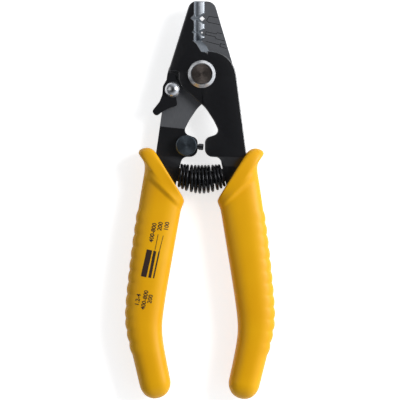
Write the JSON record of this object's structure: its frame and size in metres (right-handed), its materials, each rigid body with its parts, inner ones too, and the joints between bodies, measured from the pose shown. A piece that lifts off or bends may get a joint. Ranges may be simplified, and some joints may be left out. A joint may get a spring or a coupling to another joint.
{
  "type": "fibre stripper",
  "caption": "Plier-shaped stripper for optical fibre: two lapped steel jaws with V-notched blades on a bolt pivot, a lock lever, a stop screw, a return spring and yellow moulded grips.",
  "frame": {"origin": "under the middle of the tool as it lies flat: centre of the bounding box in X and Y, on the plane the grips rest on in Z", "axes": "+Y towards the tips of the jaws, +Z out of the front face with the bright ring and the lock lever, +X to the right seen from the front"},
  "size_m": [0.0622, 0.165, 0.013],
  "materials": {
    "black_oxide_steel": "black oxide, satin",
    "bright_steel": "turned, bright",
    "plated_steel": "polished",
    "spring_steel": "black, oiled",
    "yellow_grip": "soft moulded thermoplastic, matt"
  },
  "bodies": {
    "rear": {"rear_half": "black_oxide_steel", "left_grip": "yellow_grip", "pivot_bolt": "black_oxide_steel", "pivot_ring": "bright_steel", "split_washer": "black_oxide_steel", "pivot_nut": "black_oxide_steel", "lock_rivet": "plated_steel", "lock_washer": "bright_steel", "stop_post": "black_oxide_steel", "stop_screw": "black_oxide_steel", "return_spring": "spring_steel"},
    "front": {"front_half": "black_oxide_steel", "right_grip": "yellow_grip"},
    "lock": {"lock_lever": "black_oxide_steel"}
  },
  "joints": [
    {"name": "blade_pivot", "type": "hinge", "parent": "rear", "child": "front", "pos_m": [0, 0.0521, 0.0065], "axis": [0, 0, 1], "range_deg": [-0.9, 12], "deforming": ["return_spring"]},
    {"name": "lock_pivot", "type": "hinge", "parent": "rear", "child": "lock", "pos_m": [-0.01205, 0.04567, 0.0065], "axis": [0, 0, 1], "range_deg": [-4.05, 54]}
  ],
  "couplings": [
    {"joint": "lock_pivot", "follows": "blade_pivot", "ratio": 4.5}
  ]
}
